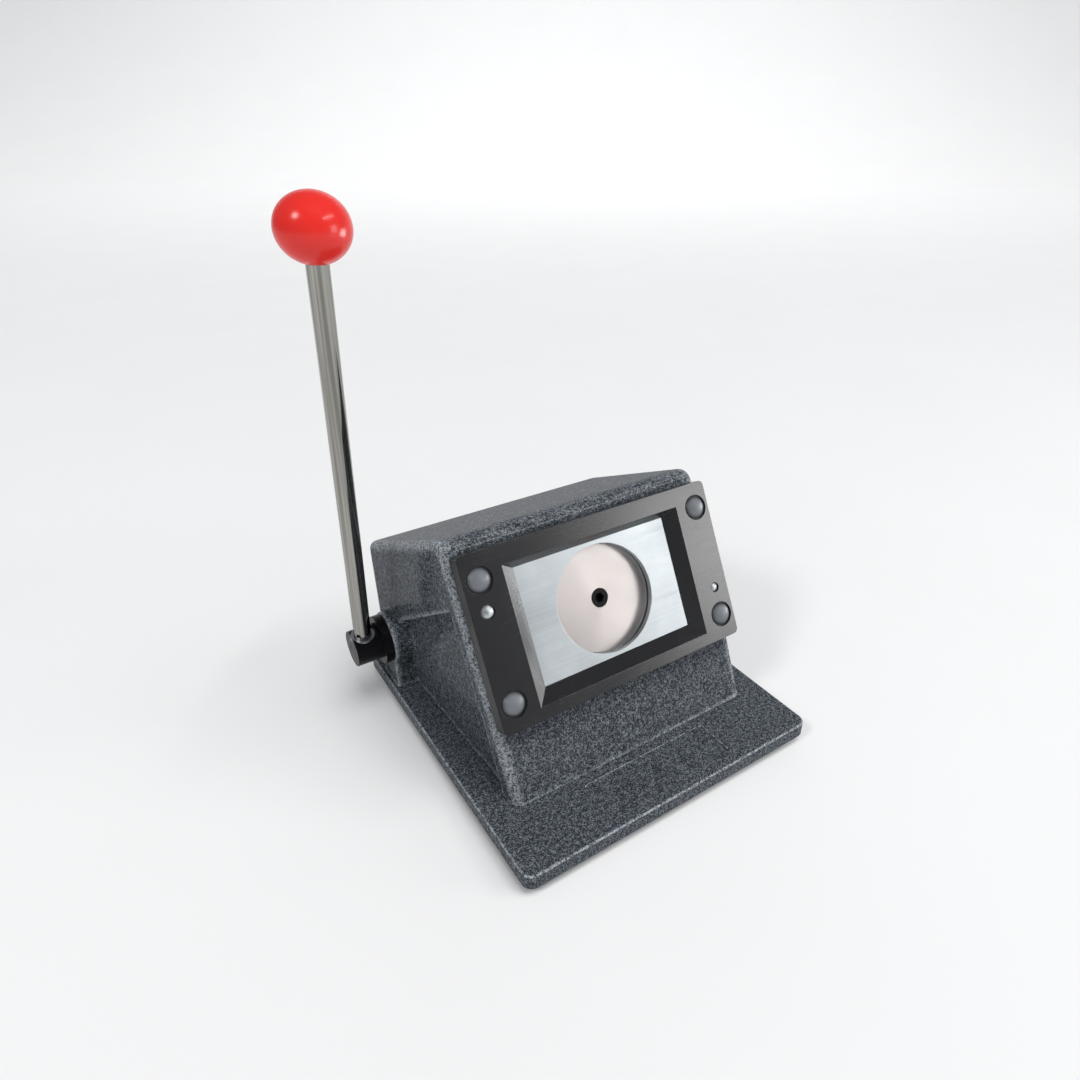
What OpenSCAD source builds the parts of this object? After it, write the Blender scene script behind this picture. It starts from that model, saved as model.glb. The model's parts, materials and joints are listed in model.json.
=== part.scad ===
// Circle paper cutter: a cast desk housing with a sloped die face. A side lever turns an eccentric
// shaft, whose crank drives a ram and its round punch forward through the paper slot and the die.
// Millimetres. The origin is on the table under the middle of the base, +Z up, the die faces -Y.

/* [Base] */
// Width of the base plate
base_w = 190; // [180:1:230]
// Depth of the base plate, front to back
base_d = 208; // [200:1:240]
// Thickness of the base plate
base_t = 9.5; // [7:0.5:14]
// Corner radius of the base plate
base_corner_r = 6; // [2:0.5:12]
// Height of the rubber feet below the base
foot_h = 5; // [4:0.5:10]
// Diameter of a rubber foot at the base
foot_d = 18; // [14:1:22]
// Distance from the base's edges to a foot's centre
foot_inset = 13; // [11:1:18]
// Thread diameter of the foot screws
foot_screw_d = 4; // [3:0.5:5]
// Thread diameter of the screws that hold the housing
base_screw_d = 5; // [4:0.5:6]

/* [Housing] */
// Width of the housing at its front foot
housing_front_w = 157.5; // [150:0.5:170]
// Angle at which each side wall spreads towards the rear
side_flare = 2.3; // [0:0.1:3]
// Front edge of the base to the housing's front foot
front_setback = 39.5; // [34:0.5:44]
// Rear edge of the base to the housing's rear wall
rear_setback = 1; // [1:0.5:4]
// Angle of the die face from the vertical
face_tilt = 26.6; // [24:0.1:29]
// Front edge of the base to the middle of the die face
face_back = 77; // [75:0.5:82]
// Underside of the base to the middle of the die face
face_up = 90; // [86:0.5:100]
// Middle of the die face up the slope to the top edge
face_above = 55; // [52:0.5:58]
// Middle of the die face down the slope to the lower bend
face_below = 47.5; // [46:0.5:52]
// Underside of the base to the rear top edge
rear_top_up = 90.5; // [84:0.5:100]
// Thickness of the cast walls
wall_t = 7; // [5:0.5:8]
// Thickness of the cast wall behind the die face
face_wall_t = 18; // [16:0.5:22]
// Radius of the housing's outer edges
edge_r = 5; // [3:0.5:7]
// Radius of the housing's top edge, above the die face
top_r = 8; // [7:0.5:10]

/* [Side pockets] */
// Depth of the pocket in each side wall
pocket_depth = 4; // [2:0.5:4.5]
// Width of the border strip between the pocket and the front edge
pocket_strip = 12; // [9:0.5:18]
// Underside of the base to the front end of the pocket's upper ridge
pocket_top_up = 101; // [92:1:106]
// Diameter of the shaft boss on each side
boss_d = 32; // [31:1:38]
// Distance from the middle plane to a boss's outer face
boss_face_x = 92; // [89:0.5:94]

/* [Apron recess] */
// Width of the shallow recess in the base's front apron
recess_w = 82; // [60:1:110]
// Length of the recess, front to back
recess_l = 27; // [18:1:28]
// Depth of the recess
recess_depth = 0.8; // [0.4:0.1:2]
// Front edge of the base to the recess
recess_front = 6; // [4:0.5:6.5]
// Corner radius of the recess
recess_corner_r = 2; // [1:0.5:6]

/* [Die stack] */
// Diameter of the paper disc
disc_d = 60; // [44:0.5:61]
// Radial clearance of the punch in the die and in the guide plate
die_gap = 0.05; // [0.02:0.01:0.1]
// Height of the paper slot
slot_t = 1.6; // [1:0.1:2.5]
// Lap of the die plate behind the frame, left and right
die_lap_x = 12.1; // [9:0.1:13]
// Lap of the die plate behind the frame, above and below
die_lap_y = 10.85; // [8:0.05:11.35]
// Thickness of the die plate
die_t = 3.2; // [2.5:0.1:4]
// Guide plate's edge inside the die plate's edge, left and right
guide_in_x = 1; // [0:0.5:4]
// Guide plate's edge inside the die plate's edge, above and below
guide_in_y = 3; // [1:0.5:5]
// Thickness of the guide plate
guide_t = 12; // [10:0.5:13]
// Width of the lap of a slot spacer over the die plate
spacer_lap = 6; // [4:0.5:10]

/* [Front frame] */
// Width of the frame
frame_w = 156.5; // [154:0.5:157.5]
// Height of the frame, along the slope
frame_h = 93; // [91:0.5:94]
// Thickness of the frame
frame_t = 9; // [8:0.5:11]
// Corner radius of the frame
frame_corner_r = 3; // [1:0.5:5]
// Width of the frame beside the window, at the die plate
bar_x = 30.35; // [29.25:0.05:34.25]
// Width of the frame above and below the window, at the die plate
bar_y = 14.35; // [13:0.05:15]
// Spread of the window's left and right bevels
bevel_x = 7.8; // [4:0.1:9]
// Spread of the window's upper bevel
bevel_top = 3.9; // [3:0.1:6]
// Spread of the window's lower bevel
bevel_low = 7.6; // [3:0.1:8]
// Frame's left or right edge to a frame screw's axis
screw_dx = 9.1; // [8.25:0.05:9.75]
// Frame's upper or lower edge to a frame screw's axis
screw_dy = 14.15; // [12.5:0.05:15.5]
// Thread diameter of the frame screws
screw_d = 6; // [5:0.5:6]
// Reach of the frame screws into the casting
screw_reach = 14; // [10:0.5:15]
// Diameter of the counterbores for the screws and caps
cap_bore_d = 14.5; // [13:0.1:15]
// Depth of those counterbores
cap_bore_depth = 6.4; // [5.8:0.1:7]
// Diameter of the domed caps
cap_dome_d = 13; // [11:0.1:13]
// Height of the dome
cap_dome_h = 3.2; // [2:0.1:4]

/* [Guide pins] */
// Diameter of the left guide pin
pin_left_d = 7.5; // [6:0.1:8]
// Diameter of the right guide pin
pin_right_d = 5.5; // [4:0.1:7]
// Distance of each pin from the slope's middle line
pin_dy = 16; // [13:0.5:18]
// Reach of the guide pins into the casting
pin_reach = 12; // [8:0.5:14]

/* [Punch and ram] */
// Punch face behind the housing's face at rest
punch_rest = 1.6; // [0.5:0.1:2]
// Thickness of the punch
punch_t = 12; // [11:0.5:16]
// Thread diameter of the punch screw
punch_screw_d = 6; // [5:0.5:8]
// Diameter of the ram
ram_d = 30; // [26:0.5:34]
// Diameter of the ram's spring flange
ram_flange_d = 44; // [42:0.5:46]
// Thickness of the spring flange
ram_flange_t = 4; // [3:0.5:6]
// Shaft's axis forward to the front of the bulkhead that carries the ram
bulkhead_back = 70; // [68:0.5:74]
// Thickness of the bulkhead
bulkhead_t = 18; // [14:0.5:20]
// Wall of the ram's bronze bush
ram_bush_wall = 4; // [3:0.5:5]
// Width of the yoke, along the shaft
yoke_w = 20; // [16:0.5:24]
// Wall of the yoke round its slot
yoke_wall = 7; // [6:0.5:8]
// Thickness of the yoke's rear cap
yoke_cap_t = 6; // [5:0.5:7]
// Thread diameter of the yoke cap screws
yoke_screw_d = 4; // [3:0.5:4]
// Wire diameter of the return spring
spring_wire_d = 2.5; // [2:0.1:2.5]
// Turns of the return spring
spring_turns = 4; // [3:0.5:4]

/* [Shaft] */
// Rear wall to the shaft's axis
shaft_back = 31.6; // [30:0.1:34]
// Diameter of the cross shaft
shaft_d = 22; // [22:0.5:24]
// Diameter of the shaft's crank journal
journal_d = 10.5; // [9:0.5:10.5]
// Offset of the crank journal from the shaft's axis
crank_r = 5.5; // [4.5:0.1:5.5]
// Radial running clearance of the shaft and of the ram
run_gap = 0.05; // [0.02:0.01:0.1]
// Wall of the shaft's bronze bushes
bush_wall = 2; // [1.5:0.5:2.5]
// Outside of the left wall to the left bush's inner end
bush_left_in = 11.2; // [10.2:0.1:14.2]
// Outside of the right wall to the right bush's inner end
bush_right_in = 18.2; // [16.2:0.1:22.2]
// Outside of the right wall to the right bush's outer end
bush_right_out = 5.2; // [5.2:0.1:8.2]
// Diameter of the thrust collar outside the left boss
collar_d = 30; // [28:0.5:33]
// Thickness of the thrust collar
collar_t = 5; // [4:0.5:7]

/* [Lever] */
// Thrust collar's face to the lever rod's axis
rod_out = 8.6; // [8:0.1:12]
// Lever rod's axis to the shaft's outer end
shaft_end_out = 7; // [6.5:0.1:12]
// Lean of the lever towards the front at rest
lever_lean = 9.5; // [0:0.5:9.5]
// Turn of the lever from rest to the end of the cut
lever_swing = 80; // [70:1:80]
// Shaft's axis to the middle of the knob
lever_len = 244; // [200:1:280]
// Diameter of the lever rod
rod_d = 10; // [8:0.5:11]
// Diameter of the rod's thread in the knob
rod_thread_d = 8; // [6:0.5:8]
// Diameter of the ball knob
knob_d = 32; // [28:0.5:40]
// Height of the knob along the rod, before its flat
knob_tall = 29.6; // [27:0.2:32]
// Diameter of the flat under the knob
knob_flat_d = 14; // [13:0.5:18]

/* [Hidden] */
$fn = 64;
// Clearance of pieces that are fixed together
fit_gap = 0.05;
// Gap beside flat faces that turn or slide past each other
side_gap = 0.3;
// Clearance of the crank journal in the yoke, along the stroke
yoke_gap = 0.35;
// Clearance at the ends of the yoke's slot
yoke_end_gap = 0.5;
// Overrun of a cut past the face it opens
cut = 1;
// A length past every outer face
far = 4 * base_d;

base_bottom = foot_h;
base_top = foot_h + base_t;
face_y = -base_d / 2 + face_back;
face_z = base_bottom + face_up;
foot_y = -base_d / 2 + front_setback;
rear_y = base_d / 2 - rear_setback;
bend = [face_y - face_below * sin(face_tilt), face_z - face_below * cos(face_tilt)];
top_edge = [face_y + face_above * sin(face_tilt), face_z + face_above * cos(face_tilt)];
rear_top = [rear_y, base_bottom + rear_top_up];
pocket_top = base_bottom + pocket_top_up;

shaft_y = rear_y - shaft_back;
// Die face to the shaft's axis, along the punch axis
shaft_depth = (shaft_y - face_y) / cos(face_tilt);
shaft_z = face_z - shaft_depth * sin(face_tilt);
bulkhead_front = shaft_depth - bulkhead_back;
half_swing = lever_swing / 2;
crank_back = crank_r * sin(half_swing);
crank_up = crank_r * cos(half_swing);
stroke = 2 * crank_back;

frame_back = slot_t;
frame_front = slot_t + frame_t;
die_front = slot_t + die_t;
cap_seat = frame_front - cap_bore_depth;
window_w = frame_w - 2 * bar_x;
window_h = frame_h - 2 * bar_y;
die_w = window_w + 2 * die_lap_x;
die_h = window_h + 2 * die_lap_y;
guide_w = die_w - 2 * guide_in_x;
guide_h = die_h - 2 * guide_in_y;
pin_x = frame_w / 2 - screw_dx;
screw_y = frame_h / 2 - screw_dy;
screw_xy = [for (x = [-1, 1], y = [-1, 1]) [x * pin_x, y * screw_y]];
// Head of a socket screw for a thread of 1
head_wide = 5 / 3;
head_tall = 0.66;
screw_head_d = head_wide * screw_d;
screw_head_h = head_tall * screw_d;

punch_back = punch_rest + punch_t;
// Room round the punch behind the guide plate
punch_room = 3;
punch_head_d = head_wide * punch_screw_d;
punch_head_sink = 0.4;
punch_bore_depth = punch_screw_d + punch_head_sink;
punch_screw_reach = 2.5 * punch_screw_d;
ram_bush_d = ram_d + 2 * (run_gap + ram_bush_wall);
ram_bush_lip = 1;
ram_bush_end = bulkhead_front + bulkhead_t + ram_bush_lip;
yoke_front = shaft_depth + crank_back - journal_d / 2 - yoke_gap;
yoke_rear = shaft_depth + crank_back + journal_d / 2 + yoke_gap;
// Front of the yoke's slot to the spring flange
yoke_neck = 26;
ram_flange_back = yoke_front - yoke_neck;
yoke_low = crank_up - journal_d / 2 - yoke_end_gap;
yoke_high = crank_r + journal_d / 2 + yoke_end_gap;
yoke_screw_head_d = 1.5 * yoke_screw_d;
yoke_screw_reach = 2.5 * yoke_screw_d;
yoke_screw_seat = yoke_rear + yoke_cap_t - yoke_screw_d;
yoke_screw_y = [yoke_low - yoke_wall / 2, yoke_high + yoke_wall / 2];
spring_front = ram_bush_end + side_gap;
spring_rear = ram_flange_back - side_gap;
// Room between the spring and the ram
spring_room = 2;
spring_d = ram_d + spring_wire_d + 2 * spring_room;

bush_d = shaft_d + 2 * (run_gap + bush_wall);
// Middle plane to the outside of a side wall at the shaft, and to the bushes' ends
side_x = half_w(shaft_y);
left_in_x = side_x - bush_left_in;
right_in_x = side_x - bush_right_in;
right_out_x = side_x - bush_right_out;
collar_in = boss_face_x + side_gap;
collar_out = collar_in + collar_t;
rod_x = -(collar_out + rod_out);
shaft_left = rod_x - shaft_end_out;
shaft_right = right_out_x - side_gap;
crank_half = yoke_w / 2 + yoke_end_gap;
ring_t = 1.5;
ring_groove = 1;
ring_lip = 4;
ring_groove_d = shaft_d - 2 * ring_groove;
ring_d = shaft_d + 2 * ring_lip;
ring_out = left_in_x - side_gap;
// Rim of the flat seat under the rod's washer
spot_rim = 2.3;
spot_d = rod_d + 2 * spot_rim;
spot_up = sqrt(pow(shaft_d / 2, 2) - pow(spot_d / 2, 2)) - side_gap;
washer_t = 1.2;
rod_sink = shaft_d / 4;
knob_flat = knob_tall / knob_d * sqrt(pow(knob_d / 2, 2) - pow(knob_flat_d / 2, 2));
insert_wall = 2;
insert_d = rod_thread_d + 2 * insert_wall;
insert_up = knob_d / 6;
set_screw_d = 4;
set_screw_turn = -140;

// Metal left over the blind holes in the base
hole_roof = 2;
foot_screw_reach = base_t - hole_roof - cut;
base_screw_head_d = head_wide * base_screw_d;
base_screw_head_h = head_tall * base_screw_d;
base_screw_seat = base_bottom + base_screw_head_h + cut;
base_screw_reach = 2 * base_screw_d;
// Front and rear of the housing's hollow at its foot
hollow_front = face_y - (face_z - base_top) * tan(face_tilt) + face_wall_t / cos(face_tilt);
hollow_rear = rear_y - wall_t;
// Screw posts on the hollow's rear wall
post_d = 3 * base_screw_d;
post_h = base_screw_reach + 2 * cut;
post_x = housing_front_w / 3;
post_y = hollow_rear - post_d / 4;
base_screw_xy = [for (x = [-1, 1], y = [(foot_y + hollow_front) / 2, post_y]) [x * post_x, y]];
foot_x = base_w / 2 - foot_inset;
foot_y_out = base_d / 2 - foot_inset;
foot_xy = [for (x = [-1, 1], y = [-1, 1]) [x * foot_x, y * foot_y_out]];
foot_taper = 1;
foot_web = 0.4 * foot_h;
foot_screw_head_d = 2 * foot_screw_d;
foot_screw_head_h = 0.4 * foot_h;

hammertone = [0.17, 0.19, 0.21];
satin_black = [0.07, 0.07, 0.08];
ground_steel = [0.74, 0.75, 0.76];
dark_steel = [0.35, 0.35, 0.36];
bronze = [0.66, 0.48, 0.24];
rubber_black = [0.04, 0.04, 0.04];
knob_red = [0.85, 0.08, 0.07];

// Half width of the housing at a depth y
function half_w(y) = housing_front_w / 2 + (y - foot_y) * tan(side_flare);

// Front of the housing below the bend, at a height z
function low_front_y(z) = foot_y + (z - base_top) * (bend[0] - foot_y) / (bend[1] - base_top);

// Front edge of the side wall at a height z
function front_y(z) = z < bend[1] ? low_front_y(z) : face_y + (z - face_z) * tan(face_tilt);

// Side profile of the housing down to a height, anticlockwise in (y, z)
function profile(bottom) = [[low_front_y(bottom), bottom], [rear_y, bottom], rear_top, top_edge, bend];

function unit(v) = v / norm(v);
function inward(a, b) = let (d = unit(b - a)) [-d[1], d[0]];
function inset_corner(a, b, c, r) = let (p = inward(a, b), q = inward(b, c))
    b + r * (p + q) / (1 + p * q);

// An anticlockwise outline moved inwards by r
function inset(pts, r) = [for (i = [0 : len(pts) - 1])
    inset_corner(pts[(i + len(pts) - 1) % len(pts)], pts[i], pts[(i + 1) % len(pts)], r)];

// Middles of the edge rounding along the larger rounding of the top edge
function top_arc() = let (
    c = inset_corner(rear_top, top_edge, bend, top_r),
    p = inward(rear_top, top_edge),
    q = inward(top_edge, bend))
    [for (t = [0 : 1 / 3 : 1]) c - (top_r - edge_r) * unit((1 - t) * p + t * q)];

// Puts a piece on the die face: local +Y up the slope, +Z out of the face
module on_face() {
    translate([0, face_y, face_z]) rotate([90 - face_tilt, 0, 0]) children();
}

// Puts a piece on the shaft's axis
module on_shaft() {
    translate([0, shaft_y, shaft_z]) children();
}

// Puts a piece on the lever: local +Z from the shaft's axis along the rod
module on_lever() {
    translate([rod_x, shaft_y, shaft_z]) rotate([lever_lean, 0, 0]) children();
}

// A cylinder along X
module x_cylinder(d, x0, x1) {
    translate([x0, 0, 0]) rotate([0, 90, 0]) cylinder(d = d, h = x1 - x0);
}

// A cylinder along Z between two heights
module z_cylinder(d, z0, z1) {
    translate([0, 0, z0]) cylinder(d = d, h = z1 - z0);
}

// A prism along X of an outline in (y, z)
module side_prism(pts, x0, x1) {
    translate([x0, 0, 0]) rotate([90, 0, 90]) linear_extrude(x1 - x0) polygon(pts);
}

module rounded_square(w, h, r) {
    square([w - 2 * r, h], center = true);
    square([w, h - 2 * r], center = true);
    for (x = [-1, 1], y = [-1, 1])
        translate([x * (w / 2 - r), y * (h / 2 - r)]) circle(r);
}

module rounded_plate(w, h, r, z0, z1) {
    translate([0, 0, z0]) linear_extrude(z1 - z0) rounded_square(w, h, r);
}

// A hexagon socket, as a cut from a head's top downwards
module hex_socket(across, top, depth) {
    translate([0, 0, top - depth]) cylinder(d = across / cos(30), h = depth + cut, $fn = 6);
}

// A socket head screw along Z: its head sits on z = seat and its shank runs down to z = tip
module socket_screw(d, head_d, head_h, seat, tip) {
    difference() {
        union() {
            z_cylinder(d, tip, seat + head_h / 2);
            z_cylinder(head_d, seat, seat + head_h);
        }
        hex_socket(head_d / 2, seat + head_h, head_h * 0.6);
    }
}

// Plan of the housing between its spreading sides, moved inwards by r
module plan(r) {
    y0 = -base_d;
    y1 = base_d;
    polygon([[r - half_w(y0), y0], [half_w(y0) - r, y0], [half_w(y1) - r, y1], [r - half_w(y1), y1]]);
}

// Outer shape of the housing with its rounded edges, flat where it stands on the base
module housing_envelope() {
    corners = inset(profile(base_top - 2 * edge_r), edge_r);
    intersection() {
        hull() for (p = concat([corners[0], corners[1], corners[2], corners[4]], top_arc()), s = [-1, 1])
            translate([s * (half_w(p[0]) - edge_r), p[0], p[1]]) sphere(edge_r, $fn = 32);
        translate([-far / 2, -far / 2, base_top]) cube(far);
    }
}

// The hollow of the housing, open at its foot
module housing_hollow() {
    intersection() {
        side_prism(inset(profile(base_top - wall_t - cut), wall_t), -base_w, base_w);
        translate([0, 0, -far]) linear_extrude(2 * far) plan(wall_t);
        on_face() translate([-far, -far, -2 * far - face_wall_t]) cube(2 * far);
    }
}

// Shallow pockets in both side walls, between the border strip, the ridge and the shaft boss
module side_pockets() {
    strip = pocket_strip / cos(face_tilt);
    difference() {
        side_prism([
            [front_y(base_top) + strip, base_top - cut],
            [shaft_y, base_top - cut],
            [shaft_y, shaft_z + boss_d / 4],
            [front_y(pocket_top) + strip, pocket_top],
            [front_y(bend[1]) + strip, bend[1]]], -base_w, base_w);
        linear_extrude(far) plan(pocket_depth);
    }
}

// Round shaft bosses, each on a narrower foot that stands on the base
module shaft_bosses() {
    root = side_x - wall_t;
    foot = boss_d * 0.75;
    for (s = [-1, 1]) {
        on_shaft() scale([s, 1, 1]) x_cylinder(boss_d, root, boss_face_x);
        translate([s > 0 ? root : -boss_face_x, shaft_y - foot / 2, base_top])
            cube([boss_face_x - root, foot, shaft_z - base_top]);
    }
}

// Walls inside the hollow: the ram's bulkhead, the inner ends of the shaft bosses and the screw posts
module inner_walls() {
    on_face() translate([-far / 2, -far / 2, -bulkhead_front - bulkhead_t])
        cube([far, far, bulkhead_t]);
    on_shaft() {
        x_cylinder(boss_d, -base_w, -left_in_x);
        x_cylinder(boss_d, right_in_x, base_w);
    }
    for (x = [-1, 1]) translate([x * post_x, post_y]) z_cylinder(post_d, -cut, base_top + post_h);
}

module body_casting() {
    color(hammertone) difference() {
        union() {
            difference() {
                housing_envelope();
                side_pockets();
            }
            shaft_bosses();
        }
        difference() {
            housing_hollow();
            inner_walls();
        }
        on_face() {
            translate([0, 0, -guide_t]) linear_extrude(guide_t + cut)
                square([guide_w + 2 * fit_gap, guide_h + 2 * fit_gap], center = true);
            z_cylinder(disc_d + 2 * punch_room, -face_wall_t - cut, -guide_t + cut);
            for (p = screw_xy) translate(p) z_cylinder(screw_d + 2 * fit_gap, -screw_reach - cut, cut);
            translate([-pin_x, pin_dy]) z_cylinder(pin_left_d + 2 * fit_gap, -pin_reach, cut);
            translate([pin_x, -pin_dy]) z_cylinder(pin_right_d + 2 * fit_gap, -pin_reach, cut);
            z_cylinder(ram_bush_d + 2 * fit_gap, -bulkhead_front - bulkhead_t - cut, -bulkhead_front + cut);
        }
        on_shaft() {
            x_cylinder(bush_d + 2 * fit_gap, -boss_face_x - cut, -left_in_x + cut);
            x_cylinder(bush_d + 2 * fit_gap, right_in_x - cut, right_out_x);
        }
        for (p = base_screw_xy) translate(p)
            z_cylinder(base_screw_d + 2 * fit_gap, base_top - cut, base_top + base_screw_reach + cut);
    }
}

// The plate under the housing, with the shallow recess in its apron
module base_plate() {
    color(hammertone) difference() {
        rounded_plate(base_w, base_d, base_corner_r, base_bottom, base_top);
        translate([0, -base_d / 2 + recess_front + recess_l / 2, base_top - recess_depth])
            rounded_plate(recess_w, recess_l, recess_corner_r, 0, recess_depth + cut);
        for (p = base_screw_xy) translate(p) {
            z_cylinder(base_screw_d + 2 * fit_gap, base_bottom - cut, base_top + cut);
            z_cylinder(base_screw_head_d + 2 * side_gap, base_bottom - cut, base_screw_seat);
        }
        for (p = foot_xy) translate(p)
            z_cylinder(foot_screw_d + 2 * fit_gap, base_bottom - cut, base_top - hole_roof);
    }
}

module base_screws() {
    tip = base_screw_seat - base_top - base_screw_reach;
    color(ground_steel) for (p = base_screw_xy) translate([p[0], p[1], base_screw_seat]) rotate([180, 0, 0])
        socket_screw(base_screw_d, base_screw_head_d, base_screw_head_h, 0, tip);
}

module rubber_feet() {
    color(rubber_black) for (p = foot_xy) translate(p) difference() {
        cylinder(d1 = foot_d - 2 * foot_taper, d2 = foot_d, h = foot_h);
        z_cylinder(foot_screw_d + 2 * fit_gap, -cut, foot_h + cut);
        z_cylinder(foot_screw_head_d + 2 * side_gap, -cut, foot_h - foot_web);
    }
}

module foot_screws() {
    tip = -foot_web - foot_screw_reach;
    color(ground_steel) for (p = foot_xy) translate([p[0], p[1], foot_h - foot_web]) rotate([180, 0, 0])
        socket_screw(foot_screw_d, foot_screw_head_d, foot_screw_head_h, 0, tip);
}

module guide_plate() {
    color(ground_steel) on_face() difference() {
        translate([0, 0, -guide_t]) linear_extrude(guide_t) square([guide_w, guide_h], center = true);
        z_cylinder(disc_d + 2 * die_gap, -guide_t - cut, cut);
    }
}

// A strip beside the paper slot, on the side given by s
module slot_spacer(s) {
    inner = die_w / 2 - spacer_lap;
    outer = frame_w / 2 - frame_corner_r;
    color(ground_steel) on_face() difference() {
        translate([s > 0 ? inner : -outer, -die_h / 2, 0]) cube([outer - inner, die_h, slot_t]);
        for (p = screw_xy) translate(p) z_cylinder(screw_d + 2 * fit_gap, -cut, slot_t + cut);
        translate([s * pin_x, -s * pin_dy])
            z_cylinder((s < 0 ? pin_left_d : pin_right_d) + 2 * fit_gap, -cut, slot_t + cut);
    }
}

module slot_spacer_left() {
    slot_spacer(-1);
}

module slot_spacer_right() {
    slot_spacer(1);
}

module die_plate() {
    color(ground_steel) on_face() difference() {
        translate([0, 0, slot_t]) linear_extrude(die_t) square([die_w, die_h], center = true);
        z_cylinder(disc_d + 2 * die_gap, slot_t - cut, die_front + cut);
    }
}

// The bevelled window, cut from the die plate's face through the frame's front
module window_cut() {
    depth = frame_front - die_front;
    over = 1 + cut / depth;
    top = over * depth;
    x0 = window_w / 2;
    x1 = x0 + over * bevel_x;
    y0 = window_h / 2;
    y_low = -y0 - over * bevel_low;
    y_top = y0 + over * bevel_top;
    translate([0, 0, die_front]) intersection() {
        rotate([90, 0, 0]) translate([0, 0, -frame_h]) linear_extrude(2 * frame_h)
            polygon([[-x0, 0], [x0, 0], [x1, top], [-x1, top]]);
        rotate([90, 0, 90]) translate([0, 0, -frame_w]) linear_extrude(2 * frame_w)
            polygon([[-y0, 0], [y0, 0], [y_top, top], [y_low, top]]);
    }
}

module front_frame() {
    color(satin_black) on_face() difference() {
        rounded_plate(frame_w, frame_h, frame_corner_r, frame_back, frame_front);
        translate([0, 0, frame_back - cut]) linear_extrude(die_t + cut)
            square([die_w + 2 * fit_gap, die_h + 2 * fit_gap], center = true);
        window_cut();
        for (p = screw_xy) translate(p) {
            z_cylinder(screw_d + 2 * fit_gap, frame_back - cut, frame_front);
            z_cylinder(cap_bore_d, cap_seat, frame_front + cut);
        }
        translate([-pin_x, pin_dy])
            z_cylinder(pin_left_d + 2 * fit_gap, frame_back - cut, frame_front + cut);
        translate([pin_x, -pin_dy])
            z_cylinder(pin_right_d + 2 * fit_gap, frame_back - cut, frame_front + cut);
    }
}

module frame_screws() {
    color(dark_steel) on_face() for (p = screw_xy) translate(p)
        socket_screw(screw_d, screw_head_d, screw_head_h, cap_seat, -screw_reach);
}

// A plug in the counterbore with a domed head
module screw_caps() {
    seat = cap_seat + screw_head_h;
    rim = frame_front - cut;
    dome_r = (pow(cap_dome_d / 2, 2) + pow(cap_dome_h, 2)) / (2 * cap_dome_h);
    color(satin_black) on_face() for (p = screw_xy) translate(p) {
        z_cylinder(cap_bore_d - 2 * fit_gap, seat, rim);
        intersection() {
            translate([0, 0, rim + cap_dome_h - dome_r]) sphere(dome_r);
            z_cylinder(cap_dome_d + cut, rim - (rim - seat) / 2, rim + cap_dome_h + cut);
        }
    }
}

module guide_pin_left() {
    color(ground_steel) on_face() translate([-pin_x, pin_dy]) dowel(pin_left_d, frame_front + side_gap);
}

module guide_pin_right() {
    color(ground_steel) on_face() translate([pin_x, -pin_dy]) dowel(pin_right_d, frame_front - side_gap);
}

// A dowel along Z with a chamfered front end
module dowel(d, front) {
    chamfer = d / 10;
    z_cylinder(d, -pin_reach, front - chamfer);
    translate([0, 0, front - chamfer]) cylinder(d1 = d, d2 = d - 2 * chamfer, h = chamfer);
}

// A plain bush along X round the shaft
module shaft_bush(x0, x1) {
    color(bronze) on_shaft() difference() {
        x_cylinder(bush_d, x0, x1);
        x_cylinder(shaft_d + 2 * run_gap, x0 - cut, x1 + cut);
    }
}

module shaft_bush_left() {
    shaft_bush(-boss_face_x, -left_in_x);
}

module shaft_bush_right() {
    shaft_bush(right_in_x, right_out_x);
}

module ram_bush() {
    color(bronze) on_face() difference() {
        z_cylinder(ram_bush_d, -ram_bush_end, -bulkhead_front);
        z_cylinder(ram_d + 2 * run_gap, -ram_bush_end - cut, -bulkhead_front + cut);
    }
}

// The cross shaft with its crank journal, the ring groove and the lever's seat
module eccentric_shaft() {
    color(satin_black) difference() {
        union() {
            on_shaft() {
                x_cylinder(shaft_d, shaft_left, -crank_half);
                x_cylinder(shaft_d, crank_half, shaft_right);
            }
            on_face() translate([0, crank_up, -shaft_depth - crank_back])
                x_cylinder(journal_d, -crank_half - cut, crank_half + cut);
        }
        on_shaft() difference() {
            x_cylinder(shaft_d + cut, -ring_out, -ring_out + ring_t + 2 * fit_gap);
            x_cylinder(ring_groove_d, -ring_out - cut, -ring_out + ring_t + cut);
        }
        on_lever() {
            z_cylinder(rod_d + 2 * fit_gap, -rod_sink, shaft_d);
            z_cylinder(spot_d, spot_up, shaft_d);
        }
    }
}

module thrust_collar() {
    color(satin_black) on_shaft() difference() {
        x_cylinder(collar_d, -collar_out, -collar_in);
        x_cylinder(shaft_d + 2 * fit_gap, -collar_out - cut, -collar_in + cut);
        set_screw_place() z_cylinder(set_screw_d + 2 * fit_gap, shaft_d / 2 - cut, collar_d);
    }
}

// The radial hole of the collar's set screw, on its rear side
module set_screw_place() {
    translate([-(collar_in + collar_out) / 2, 0, 0]) rotate([set_screw_turn, 0, 0]) children();
}

module collar_set_screw() {
    top = collar_d / 2 - side_gap;
    color(dark_steel) on_shaft() set_screw_place() difference() {
        z_cylinder(set_screw_d, shaft_d / 2 + 2 * fit_gap, top);
        hex_socket(set_screw_d / 2, top, (top - shaft_d / 2) / 2);
    }
}

module retaining_ring() {
    color(dark_steel) on_shaft() difference() {
        x_cylinder(ring_d, -ring_out + fit_gap, -ring_out + fit_gap + ring_t);
        x_cylinder(ring_groove_d + 2 * fit_gap, -base_w, 0);
    }
}

module rod_washer() {
    color(ground_steel) on_lever() difference() {
        z_cylinder(spot_d - 2 * fit_gap, spot_up, spot_up + washer_t);
        z_cylinder(rod_d + 2 * fit_gap, 0, shaft_d);
    }
}

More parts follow.
